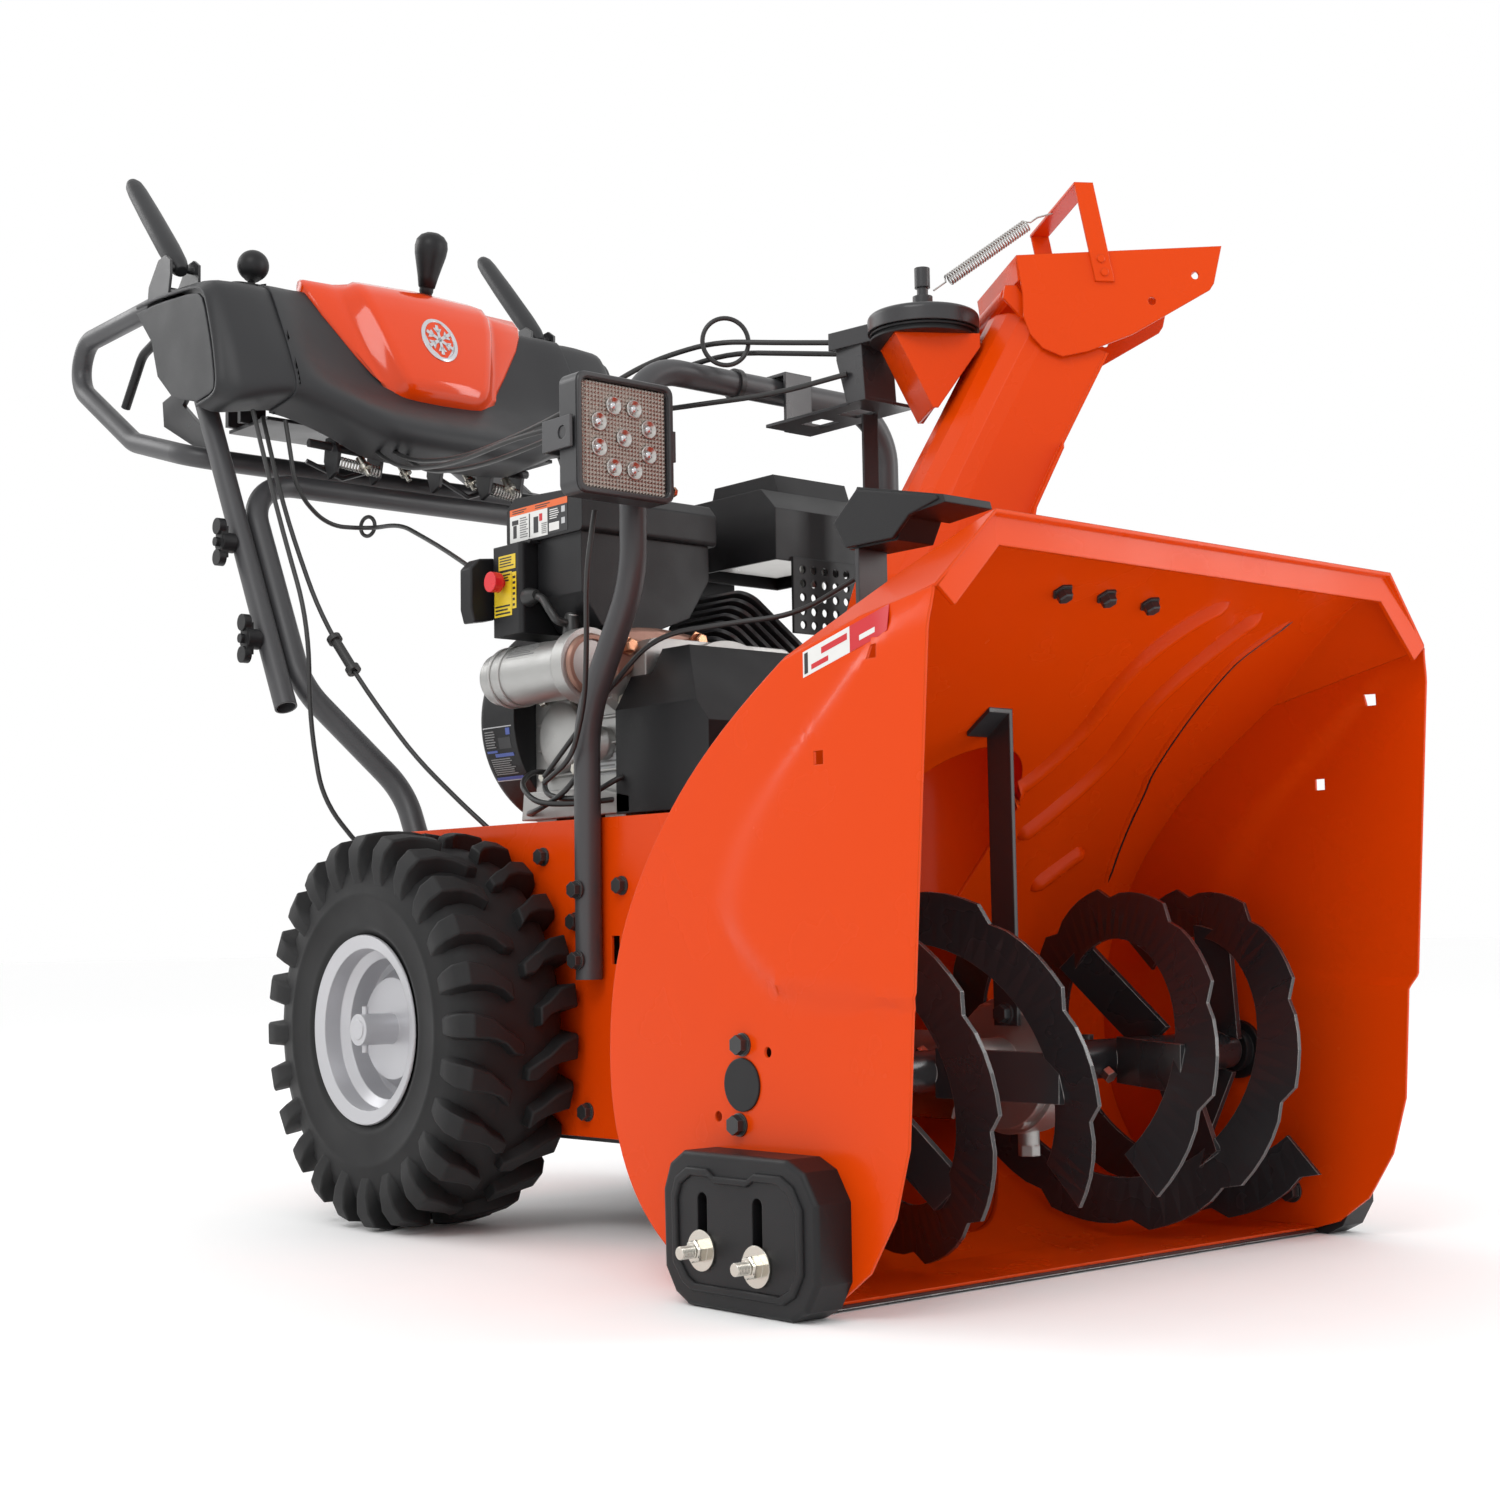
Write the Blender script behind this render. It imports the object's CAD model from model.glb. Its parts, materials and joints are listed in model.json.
import json
import math
import random

import bpy
import bmesh
from mathutils import Matrix, Vector
from mathutils.bvhtree import BVHTree

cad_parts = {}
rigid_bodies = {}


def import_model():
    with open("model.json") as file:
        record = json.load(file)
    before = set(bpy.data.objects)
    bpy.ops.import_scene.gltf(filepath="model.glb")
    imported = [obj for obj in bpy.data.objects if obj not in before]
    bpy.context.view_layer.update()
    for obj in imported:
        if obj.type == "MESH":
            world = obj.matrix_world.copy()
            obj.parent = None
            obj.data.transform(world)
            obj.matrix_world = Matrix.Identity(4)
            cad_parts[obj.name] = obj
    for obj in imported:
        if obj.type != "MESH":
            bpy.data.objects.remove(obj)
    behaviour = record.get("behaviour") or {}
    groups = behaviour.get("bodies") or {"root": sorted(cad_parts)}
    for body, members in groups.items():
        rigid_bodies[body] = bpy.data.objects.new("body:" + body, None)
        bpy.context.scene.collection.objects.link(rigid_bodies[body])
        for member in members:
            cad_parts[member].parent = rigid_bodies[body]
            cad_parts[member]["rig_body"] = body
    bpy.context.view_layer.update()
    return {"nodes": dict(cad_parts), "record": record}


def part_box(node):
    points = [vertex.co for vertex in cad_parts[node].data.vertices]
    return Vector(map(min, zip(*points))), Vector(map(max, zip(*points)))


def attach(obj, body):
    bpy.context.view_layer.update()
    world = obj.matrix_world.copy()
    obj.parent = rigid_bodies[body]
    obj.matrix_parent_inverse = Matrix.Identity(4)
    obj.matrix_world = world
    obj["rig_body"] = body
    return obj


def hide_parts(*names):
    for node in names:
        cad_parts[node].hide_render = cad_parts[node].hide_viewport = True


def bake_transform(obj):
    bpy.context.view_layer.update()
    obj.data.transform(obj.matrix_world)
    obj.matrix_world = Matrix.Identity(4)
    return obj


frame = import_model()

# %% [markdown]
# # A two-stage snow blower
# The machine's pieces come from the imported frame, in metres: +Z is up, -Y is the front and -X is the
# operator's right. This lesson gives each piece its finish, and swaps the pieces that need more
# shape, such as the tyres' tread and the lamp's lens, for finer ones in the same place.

NODES = frame["nodes"]
MM = 0.001
random.seed(24)

# %% [markdown]
# Every piece is drawn in millimetres from the wheel axle, as on the maker's bench, and `at` turns
# such a point into the frame's metres. The axle line is the middle of a tyre.

# %% The bench's zero point
low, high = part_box("tyre_right")
AXLE = (low.y + high.y) / 2


def at(x, y, z):
    """A bench point in millimetres as a frame point in metres."""
    return Vector((x * MM, y * MM + AXLE, z * MM))


print("axle at y", round(AXLE, 4))

# %% [markdown]
# ## Camera
# The machine is seen from low down in front of its right-hand corner. The lens is fairly long, so
# the housing looks large without bending. Yaw, pitch and roll are turned into the camera's axes.

# %% Camera
def aim(yaw, pitch, roll):
    """The camera's right, up and back directions."""
    cy, sy, cp, sp = math.cos(yaw), math.sin(yaw), math.cos(pitch), math.sin(pitch)
    ahead = Vector((sy * cp, cy * cp, -sp))
    right = Vector((cy, -sy, 0.0))
    up = right.cross(ahead)
    tilted_right = right * math.cos(roll) + up * math.sin(roll)
    tilted_up = up * math.cos(roll) - right * math.sin(roll)
    return tilted_right, tilted_up, -ahead


view = bpy.data.objects.new("view", bpy.data.cameras.new("view"))
bpy.context.scene.collection.objects.link(view)
turn = Matrix(aim(0.713834, -0.083361, -0.016571)).transposed().to_4x4()
view.matrix_world = Matrix.Translation(at(-1413.62, -1882.35, 272.25)) @ turn
view.data.sensor_width = 36.0
view.data.lens = 53.885
view.data.clip_start = 0.05
bpy.context.scene.camera = view
print("camera at", [round(v, 3) for v in view.matrix_world.translation])

# %% [markdown]
# ## Floor and light
# A white floor under a bright, even sky keeps the shadows soft. Three large lamps shape the gloss:
# one high in front on the left, a long strip on the right, and one behind for the rims of tubes.

# %% Floor and light
def soft_lamp(name, place, target, size, power):
    """A rectangular lamp at place, turned to target; size in metres and power in watts."""
    lamp = bpy.data.objects.new(name, bpy.data.lights.new(name, "AREA"))
    lamp.data.shape = "RECTANGLE"
    lamp.data.size, lamp.data.size_y = size
    lamp.data.energy = power
    lamp.location = place
    lamp.rotation_euler = (Vector(target) - Vector(place)).to_track_quat("-Z", "Y").to_euler()
    bpy.context.scene.collection.objects.link(lamp)


world = bpy.data.worlds.new("studio")
bpy.context.scene.world = world
world.use_nodes = True
world.node_tree.nodes["Background"].inputs["Color"].default_value = (1.0, 1.0, 1.0, 1.0)
world.node_tree.nodes["Background"].inputs["Strength"].default_value = 1.0
soft_lamp("key", (-2.6, -1.6, 2.9), (-0.1, -0.2, 0.4), (1.8, 1.2), 34.0)
soft_lamp("strip", (2.4, -2.6, 1.6), (0.0, -0.4, 0.4), (0.6, 2.4), 26.0)
soft_lamp("rear", (-1.4, 3.0, 2.4), (0.0, 0.3, 0.6), (2.5, 1.2), 22.0)
bpy.context.scene.view_settings.view_transform = "Standard"
bpy.context.scene.view_settings.exposure = 0.0

bpy.ops.mesh.primitive_grid_add(x_subdivisions=8, y_subdivisions=8, size=90.0, location=(0.0, 0.0, -0.0005))
floor = bpy.context.object
floor.name = "floor"

# %% [markdown]
# ## Shared effects
# Paint, plastic, rubber and castings share a few effects. Each is one node group with named
# sockets. A group gives out colours, masks and normals only, and the shader stays in the material.

# %% A helper that lays out a node group
def effect(name, inputs, outputs):
    """An empty node group with its sockets; returns the tree, its input node and its output node."""
    tree = bpy.data.node_groups.new(name, "ShaderNodeTree")
    for label, kind, value in inputs:
        socket = tree.interface.new_socket(name=label, in_out="INPUT", socket_type="NodeSocket" + kind)
        socket.default_value = value
    for label, kind in outputs:
        tree.interface.new_socket(name=label, in_out="OUTPUT", socket_type="NodeSocket" + kind)
    return tree, tree.nodes.new("NodeGroupInput"), tree.nodes.new("NodeGroupOutput")


def add(tree, kind, settings=None, **links):
    """Adds a node; links maps an input's name or number to a value or to another node's output."""
    node = tree.nodes.new(kind)
    for key, value in (settings or {}).items():
        setattr(node, key, value)
    for key, value in links.items():
        by_number = key[0] == "i" and key[1:].isdigit()
        socket = node.inputs[int(key[1:]) if by_number else key.replace("_", " ")]
        if isinstance(value, bpy.types.NodeSocket):
            tree.links.new(value, socket)
        else:
            socket.default_value = value
    return node


def noise(tree, source, detail):
    """A cloudy pattern fixed to the piece, at the scale of the group's own socket."""
    where = add(tree, "ShaderNodeTexCoord")
    return add(tree, "ShaderNodeTexNoise", None, Vector=where.outputs["Object"],
               Scale=source.outputs["Scale"], Detail=detail)


# %% [markdown]
# **Rounded edge.** Sheet and plastic edges are never razor sharp: they catch a thin line of light.
# The Bevel node rounds the normal near an edge, and where that normal leaves the face's own one
# there is an edge, which later effects use as a mask.

# %% Rounded edge
rounded_edge, source, sink = effect("Rounded edge", [("Radius", "Float", 0.002)],
                                    [("Normal", "Vector"), ("Edge", "Float")])
soft = add(rounded_edge, "ShaderNodeBevel", {"samples": 4}, Radius=source.outputs["Radius"])
flat = add(rounded_edge, "ShaderNodeNewGeometry")
apart = add(rounded_edge, "ShaderNodeVectorMath", {"operation": "DOT_PRODUCT"}, i0=soft.outputs[0],
            i1=flat.outputs["Normal"])
mask = add(rounded_edge, "ShaderNodeMapRange", None, Value=apart.outputs["Value"])
for key, value in {"From Min": 0.99, "From Max": 0.8, "To Min": 0.0, "To Max": 1.0}.items():
    mask.inputs[key].default_value = value
rounded_edge.links.new(soft.outputs[0], sink.inputs["Normal"])
rounded_edge.links.new(mask.outputs["Result"], sink.inputs["Edge"])
print("group", rounded_edge.name)

# %% [markdown]
# **Colour drift.** No paint or plastic has one exact colour: it drifts slowly over a hand's breadth.

# %% Colour drift
colour_drift, source, sink = effect("Colour drift",
    [("Colour", "Color", (0.5, 0.5, 0.5, 1)), ("Other", "Color", (0.4, 0.4, 0.4, 1)),
     ("Scale", "Float", 6.0), ("Amount", "Float", 0.5)],
    [("Colour", "Color"), ("Mask", "Float")])
cloud = noise(colour_drift, source, 4.0)
share = add(colour_drift, "ShaderNodeMath", {"operation": "MULTIPLY"}, i0=cloud.outputs["Fac"],
            i1=source.outputs["Amount"])
blend = add(colour_drift, "ShaderNodeMix", {"data_type": "RGBA"}, i0=share.outputs[0],
            i6=source.outputs["Colour"], i7=source.outputs["Other"])
colour_drift.links.new(blend.outputs[2], sink.inputs["Colour"])
colour_drift.links.new(cloud.outputs["Fac"], sink.inputs["Mask"])

# %% [markdown]
# **Fine grain.** Moulded plastic has a fine leathery grain, castings a sandy one, and sprayed paint
# a faint orange peel. One noise at the right scale does for all three; only depth and scale differ.

# %% Fine grain
fine_grain, source, sink = effect("Fine grain",
    [("Scale", "Float", 900.0), ("Depth", "Float", 0.1), ("Normal", "Vector", (0, 0, 0))],
    [("Normal", "Vector"), ("Height", "Float")])
grains = noise(fine_grain, source, 2.0)
raised = add(fine_grain, "ShaderNodeBump", None, Height=grains.outputs["Fac"],
             Strength=source.outputs["Depth"],
             Distance=0.0006, Normal=source.outputs["Normal"])
fine_grain.links.new(raised.outputs[0], sink.inputs["Normal"])
fine_grain.links.new(grains.outputs["Fac"], sink.inputs["Height"])

# %% [markdown]
# **Worn edge.** Handling rubs paint off its edges first. Noise breaks the edge mask into chips.

# %% Worn edge
worn_edge, source, sink = effect("Worn edge",
    [("Colour", "Color", (0.5, 0.5, 0.5, 1)), ("Under", "Color", (0.5, 0.5, 0.5, 1)),
     ("Edge", "Float", 0.0),
     ("Amount", "Float", 0.5), ("Scale", "Float", 60.0)],
    [("Colour", "Color"), ("Mask", "Float")])
chips = noise(worn_edge, source, 5.0)
ragged = add(worn_edge, "ShaderNodeMath", {"operation": "MULTIPLY"}, i0=source.outputs["Edge"],
             i1=chips.outputs["Fac"])
worn = add(worn_edge, "ShaderNodeMath", {"operation": "MULTIPLY", "use_clamp": True}, i0=ragged.outputs[0],
           i1=source.outputs["Amount"])
blend = add(worn_edge, "ShaderNodeMix", {"data_type": "RGBA"}, i0=worn.outputs[0],
            i6=source.outputs["Colour"], i7=source.outputs["Under"])
worn_edge.links.new(blend.outputs[2], sink.inputs["Colour"])
worn_edge.links.new(worn.outputs[0], sink.inputs["Mask"])

# %% [markdown]
# **Gloss drift.** Fingerprints, polish and dust change the gloss more than the colour.

# %% Gloss drift
gloss_drift, source, sink = effect("Gloss drift",
    [("Low", "Float", 0.2), ("High", "Float", 0.35), ("Scale", "Float", 14.0)], [("Roughness", "Float")])
cloud = noise(gloss_drift, source, 3.0)
spread = add(gloss_drift, "ShaderNodeMapRange", None, Value=cloud.outputs["Fac"], i3=source.outputs["Low"],
             i4=source.outputs["High"])
spread.inputs["From Min"].default_value, spread.inputs["From Max"].default_value = 0.3, 0.7
gloss_drift.links.new(spread.outputs["Result"], sink.inputs["Roughness"])
print("groups", [g.name for g in bpy.data.node_groups])

# %% [markdown]
# ## Finishes
# One recipe covers every finish: drift, edge wear and grain feed a Principled shader. What makes
# paint, plastic or cast metal is the numbers: gloss, clear coat, metal share and grain size.

# %% The recipe
FINISHES = {}


def finish(name, colour, other, gloss, grain, edge, under=None, wear=0.0, metal=0.0, coat=0.0, drift=6.0,
           sheen=0.5):
    """A material: colour drifts to other, gloss is (low, high) roughness, grain is (scale, depth)
    and edge is a radius in metres."""
    material = bpy.data.materials.new(name)
    material.use_nodes = True
    tree = material.node_tree
    shader = tree.nodes["Principled BSDF"]

    def place(group):
        node = tree.nodes.new("ShaderNodeGroup")
        node.node_tree = group
        return node

    groups = (rounded_edge, colour_drift, worn_edge, fine_grain, gloss_drift)
    corner, tone, chip, fine, polish = [place(group) for group in groups]
    corner.inputs["Radius"].default_value = edge
    tone.inputs["Colour"].default_value = (*colour, 1)
    tone.inputs["Other"].default_value = (*other, 1)
    tone.inputs["Scale"].default_value = drift
    chip.inputs["Under"].default_value = (*(under or other), 1)
    chip.inputs["Amount"].default_value = wear
    fine.inputs["Scale"].default_value, fine.inputs["Depth"].default_value = grain
    polish.inputs["Low"].default_value, polish.inputs["High"].default_value = gloss
    for out, target in [(tone.outputs["Colour"], chip.inputs["Colour"]),
                        (corner.outputs["Edge"], chip.inputs["Edge"]),
                        (chip.outputs["Colour"], shader.inputs["Base Color"]),
                        (corner.outputs["Normal"], fine.inputs["Normal"]),
                        (fine.outputs["Normal"], shader.inputs["Normal"]),
                        (polish.outputs["Roughness"], shader.inputs["Roughness"])]:
        tree.links.new(out, target)
    if under:
        bare = add(tree, "ShaderNodeMath", {"operation": "MAXIMUM"}, i0=chip.outputs["Mask"], i1=metal)
        tree.links.new(bare.outputs[0], shader.inputs["Metallic"])
    else:
        shader.inputs["Metallic"].default_value = metal
    shader.inputs["Coat Weight"].default_value = coat
    shader.inputs["Specular IOR Level"].default_value = sheen
    shader.inputs["Coat Roughness"].default_value = 0.06
    FINISHES[name] = material
    return material


# %% [markdown]
# The housing, frame and chute are powder coated in a strong orange with a clear gloss; the auger and
# the tubes are black coated steel. Plastics are dark grey with a leathery grain.

# %% Paints
STEEL = (0.42, 0.41, 0.40)
finish("orange_paint", (0.66, 0.050, 0.0006), (0.71, 0.060, 0.001), (0.20, 0.30), (420.0, 0.05), 0.0016,
       (0.75, 0.20, 0.04), 0.25, coat=0.05, sheen=0.14)
finish("auger_paint", (0.018, 0.018, 0.020), (0.028, 0.028, 0.030), (0.22, 0.36), (500.0, 0.06), 0.0011,
       STEEL, 1.5, coat=0.15)
finish("black_paint", (0.024, 0.024, 0.026), (0.036, 0.036, 0.038), (0.26, 0.40), (700.0, 0.08), 0.0016,
       (0.10, 0.10, 0.10), 0.5)
finish("tube_paint", (0.042, 0.042, 0.045), (0.055, 0.055, 0.058), (0.34, 0.46), (800.0, 0.10), 0.0012,
       (0.12, 0.12, 0.12), 0.4)
finish("rim_paint", (0.50, 0.50, 0.52), (0.56, 0.56, 0.58), (0.28, 0.40), (600.0, 0.05), 0.0016,
       (0.7, 0.7, 0.7), 0.5, metal=0.55)

# %% Plastics and rubber
finish("dark_plastic", (0.019, 0.0195, 0.021), (0.026, 0.0265, 0.029), (0.40, 0.52), (1300.0, 0.22), 0.003,
       (0.11, 0.11, 0.12), 0.5, sheen=0.35)
finish("black_plastic", (0.007, 0.007, 0.008), (0.012, 0.012, 0.013), (0.36, 0.52), (1200.0, 0.20), 0.0018,
       (0.06, 0.06, 0.06), 0.5, sheen=0.32)
finish("orange_plastic", (0.66, 0.044, 0.0006), (0.71, 0.054, 0.001), (0.10, 0.16), (300.0, 0.02), 0.004,
       (0.9, 0.2, 0.04), 0.2, coat=0.4, sheen=0.25)
finish("red_plastic", (0.62, 0.010, 0.018), (0.70, 0.02, 0.03), (0.22, 0.30), (500.0, 0.05), 0.0015,
       (0.8, 0.1, 0.1), 0.3)
finish("tyre_rubber", (0.010, 0.010, 0.011), (0.018, 0.018, 0.017), (0.52, 0.68), (1500.0, 0.30), 0.0022,
       (0.055, 0.053, 0.05), 0.7, drift=12.0, sheen=0.3)
finish("cable_rubber", (0.016, 0.016, 0.016), (0.024, 0.024, 0.024), (0.34, 0.46), (1500.0, 0.10), 0.0005,
       (0.04, 0.04, 0.04), 0.3)

# %% Bare metals
finish("cast_aluminium", (0.46, 0.46, 0.45), (0.36, 0.355, 0.34), (0.34, 0.50), (1100.0, 0.35), 0.002,
       (0.8, 0.8, 0.78), 0.6, metal=0.85, drift=30.0)
finish("steel", (0.50, 0.49, 0.47), (0.36, 0.34, 0.32), (0.24, 0.38), (900.0, 0.12), 0.001, (0.8, 0.8, 0.8),
       0.5, metal=1.0, drift=24.0)
finish("zinc", (0.62, 0.60, 0.54), (0.52, 0.49, 0.42), (0.20, 0.32), (900.0, 0.10), 0.0008,
       (0.8, 0.8, 0.75), 0.5, metal=1.0, drift=40.0)
finish("badge", (0.58, 0.58, 0.60), (0.64, 0.64, 0.66), (0.20, 0.30), (700.0, 0.05), 0.001, (0.8, 0.8, 0.8),
       0.4, metal=0.9)
finish("lens", (0.30, 0.25, 0.22), (0.40, 0.33, 0.29), (0.16, 0.24), (500.0, 0.05), 0.0004, (0.8, 0.7, 0.6),
       0.6, metal=0.7, coat=0.5)
finish("bolt_black", (0.020, 0.020, 0.021), (0.034, 0.034, 0.034), (0.28, 0.42), (900.0, 0.10), 0.0006,
       STEEL, 0.6)
finish("cast_brown", (0.30, 0.17, 0.13), (0.22, 0.12, 0.09), (0.30, 0.44), (1000.0, 0.3), 0.0015,
       (0.7, 0.5, 0.4), 0.5, metal=0.6, drift=24.0)
finish("bronze", (0.60, 0.30, 0.18), (0.45, 0.22, 0.12), (0.22, 0.34), (900.0, 0.1), 0.0008,
       (0.8, 0.6, 0.45), 0.5, metal=1.0)

# %% Printed labels
for word, ink in {"white": (0.72, 0.72, 0.70), "black": (0.016, 0.016, 0.018), "yellow": (0.72, 0.52, 0.02),
                  "red": (0.55, 0.012, 0.02),
                  "orange": (0.75, 0.13, 0.02), "silver": (0.50, 0.51, 0.52), "blue": (0.06, 0.10, 0.36),
                  "grey": (0.20, 0.20, 0.20)}.items():
    finish("ink_" + word, ink, tuple(v * 0.86 for v in ink), (0.30, 0.42), (900.0, 0.04), 0.0002,
           drift=60.0)
print("finishes", sorted(FINISHES))

# %% Floor finish
finish("studio_floor", (0.985, 0.985, 0.985), (0.99, 0.99, 0.99), (0.7, 0.8), (40.0, 0.02), 0.001)
floor.data.materials.append(FINISHES["studio_floor"])

# %% [markdown]
# Every node of the frame names its slot in the record. Only its material slots are filled here; its
# shape and place stay as they are. A few nodes look better in a finish of their own.

# %% Finishes onto the frame's nodes
OWN_FINISH = {"lower_handle": "tube_paint", "upper_handle": "tube_paint", "light_hoop": "tube_paint",
              "gearbox": "cast_aluminium", "heater_box": "black_plastic", "fuel_tank": "black_plastic",
              "muffler_cover": "black_plastic", "fasteners": "bolt_black", "bearings": "black_plastic"}
SLOT_OF = {part["node"]: part["material_slot"] for part in frame["record"]["subparts"]}
for name, node in NODES.items():
    material = FINISHES[OWN_FINISH.get(name, SLOT_OF[name])]
    node.data.materials.clear()
    node.data.materials.append(material)
print(len(NODES), "nodes finished")

# %% [markdown]
# ## Building helpers
# Most finer pieces are lofts: rings of points joined into a skin. A turned piece is a loft whose
# rings go round an axis, and a tube is one whose rings follow a line.

# %% Loft, lathe and tube
def loft(rings, close_loop=False, caps=True):
    """Faces through rings of equal length; returns points and faces."""
    count = len(rings[0])
    points = [p for ring in rings for p in ring]
    faces = []
    spans = len(rings) if close_loop else len(rings) - 1
    for a in range(spans):
        b = (a + 1) % len(rings)
        for i in range(count):
            j = (i + 1) % count
            faces.append((a * count + i, a * count + j, b * count + j, b * count + i))
    if caps and not close_loop:
        faces.append(tuple(range(count)))
        faces.append(tuple((len(rings) - 1) * count + i for i in reversed(range(count))))
    return points, faces


def lathe(profile, centre, axis, steps=48):
    """Turns (along, radius) pairs, in millimetres, about a line through centre."""
    axis = Vector(axis).normalized()
    side = axis.orthogonal().normalized()
    other = axis.cross(side)
    rings = []
    for k in range(steps):
        angle = 2 * math.pi * k / steps
        out = side * math.cos(angle) + other * math.sin(angle)
        rings.append([centre + (axis * a + out * r) * MM for a, r in profile])
    return loft(rings, close_loop=True, caps=False)


def tube(points, radius, sides=10):
    """A round bar along points, in metres; radius in millimetres, one or one per point."""
    radii = radius if isinstance(radius, (list, tuple)) else [radius] * len(points)
    rings = []
    run = (points[1] - points[0]).normalized()
    side = run.orthogonal().normalized()
    for k, point in enumerate(points):
        ahead = (points[min(k + 1, len(points) - 1)] - points[max(k - 1, 0)]).normalized()
        side = (side - ahead * side.dot(ahead)).normalized()
        other = ahead.cross(side)
        angles = [2 * math.pi * i / sides for i in range(sides)]
        rings.append([point + (side * math.cos(a) + other * math.sin(a)) * radii[k] * MM for a in angles])
    return loft(rings)


def slab(outline, x0, x1):
    """A plate with an outline in y and z, from x0 to x1."""
    return loft([[at(x, y, z) for y, z in outline] for x in (x0, x1)])


# %% Placing a piece
SLOTS = {m["slot"] for m in frame["record"]["materials"]}


def piece(name, shape, body, look, slot=None, sharp=38.0, bevel=0.0, stands_for=()):
    """Makes a mesh from (points, faces), gives it a finish and lets it ride on a body."""
    points, faces = shape
    mesh = bpy.data.meshes.new(name)
    mesh.from_pydata(points, [], faces)
    tidy = bmesh.new()
    tidy.from_mesh(mesh)
    bmesh.ops.remove_doubles(tidy, verts=tidy.verts, dist=1e-6)
    bmesh.ops.recalc_face_normals(tidy, faces=tidy.faces)
    tidy.to_mesh(mesh)
    tidy.free()
    mesh.shade_smooth()
    mesh.set_sharp_from_angle(angle=math.radians(sharp))
    mesh.materials.append(look if isinstance(look, bpy.types.Material) else FINISHES[look])
    made = bpy.data.objects.new(name, mesh)
    bpy.context.scene.collection.objects.link(made)
    if bevel:
        rounding = made.modifiers.new("rounding", "BEVEL")
        rounding.width, rounding.segments, rounding.limit_method = bevel * MM, 2, "ANGLE"
        rounding.angle_limit = math.radians(sharp)
        rounding.harden_normals = False
    slot = slot or (look if look in SLOTS else None)
    if stands_for:
        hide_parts(*stands_for)
    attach(made, body)
    return made


def joined(shapes):
    """Several (points, faces) as one."""
    points, faces = [], []
    for some_points, some_faces in shapes:
        start = len(points)
        points += some_points
        faces += [tuple(i + start for i in face) for face in some_faces]
    return points, faces


print("helpers ready; slots", sorted(SLOTS))

# %% [markdown]
# ## Tyres
# A snow tyre is a soft round carcass with twenty-four heavy lugs on each shoulder. The lugs wrap from the
# tread over the shoulder and part-way down the wall, and every second one reaches further in, so
# that the two rows bite into each other. The carcass is turned, and each lug is a short loft.

# %% Tyre sizes
TYRE_X = 219.0
AXLE_Z = 190.5
LUGS = 24
WALL = [(50, 80.5), (55, 86), (58, 95), (60.4, 97.5), (61, 101), (60.4, 104), (62.2, 116), (62.9, 126),
        (64, 128), (64, 131), (62.8, 133), (61, 148), (56, 161), (48, 170), (34, 175.5), (16, 178)]
# along the lug: (x, radius) of its foot and of its top, half width, and sweep in degrees
LUG_LINE = [((2, 174), (3, 188.0), 5.5, 5.0), ((14, 173), (14, 190.3), 8.5, 3.6),
            ((24, 172), (25, 190.8), 6.5, 1.2),
            ((36, 168), (39, 190.4), 9.5, -1.2), ((50, 160), (58, 187), 11.0, -2.2),
            ((57, 150), (66.0, 174), 10.5, -2.4),
            ((59, 143), (67.0, 158), 8.5, -2.4), ((60, 136), (64.0, 145), 6.5, -2.4)]


def lug(side, turn, first):
    """One lug; side is -1 or 1 across the tread, turn its angle in degrees."""
    rings = []
    for foot, top, half, sweep in LUG_LINE[first:]:
        ring = []
        for (x, r), way in [(foot, -1.25), (top, -1), (top, 1), (foot, 1.25)]:
            angle = math.radians(turn + sweep) + way * half / r
            ring.append((side * x, r * math.cos(angle), r * math.sin(angle)))
        rings.append(ring)
    return rings


def tyre_shapes(centre_x):
    """The carcass and the joined lugs of one tyre."""
    profile = [(-x, r) for x, r in WALL] + [(0, 178.6)] + list(reversed(WALL))
    inside = [(44, 84), (50, 112), (46, 150), (0, 170), (-46, 150), (-50, 112), (-44, 84)]
    carcass = lathe(profile + inside, at(centre_x, 0, AXLE_Z), (1, 0, 0), 120)
    lugs = []
    for side in (-1, 1):
        for k in range(LUGS):
            turn = 360.0 * (k + (0.5 if side > 0 else 0.0)) / LUGS
            rings = lug(side, turn, k % 2)
            lugs.append(loft([[at(centre_x + x, y, AXLE_Z + z) for x, y, z in ring] for ring in rings]))
    return carcass, joined(lugs)


# %% Tyres
for word, way in (("right", -1), ("left", 1)):
    carcass, lugs = tyre_shapes(way * TYRE_X)
    piece(f"tyre_{word}_carcass", carcass, f"{word}_wheel", "tyre_rubber", stands_for=[f"tyre_{word}"])
    piece(f"tyre_{word}_lugs", lugs, f"{word}_wheel", "tyre_rubber", bevel=1.6)
print("tyres with", 4 * LUGS, "lugs")

# %% [markdown]
# ## Chute spring
# A tight coil of thin wire with a hook at each end keeps the deflector from dropping. Its lower hook
# turns with the chute and its upper one with the strap, so the coil is blended between the two.

# %% Spring
CHUTE_Y, CHUTE_TURN = -497.0, math.radians(57.0)


def chute_at(forward, across, z):
    """A point in the chute's own directions, which are turned to the machine's left."""
    c, s = math.cos(CHUTE_TURN), math.sin(CHUTE_TURN)
    return at(across * c + forward * s, CHUTE_Y + across * s - forward * c, z)


def coil(start, end, radius, turns, steps=12):
    """The middle line of a coil between two points; radius in millimetres."""
    run = end - start
    side = run.normalized().orthogonal().normalized()
    other = run.normalized().cross(side)
    line = []
    for k in range(turns * steps + 1):
        angle = 2 * math.pi * k / steps
        out = side * math.cos(angle) + other * math.sin(angle)
        line.append(start + run * (k / (turns * steps)) + out * radius * MM)
    return line


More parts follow.
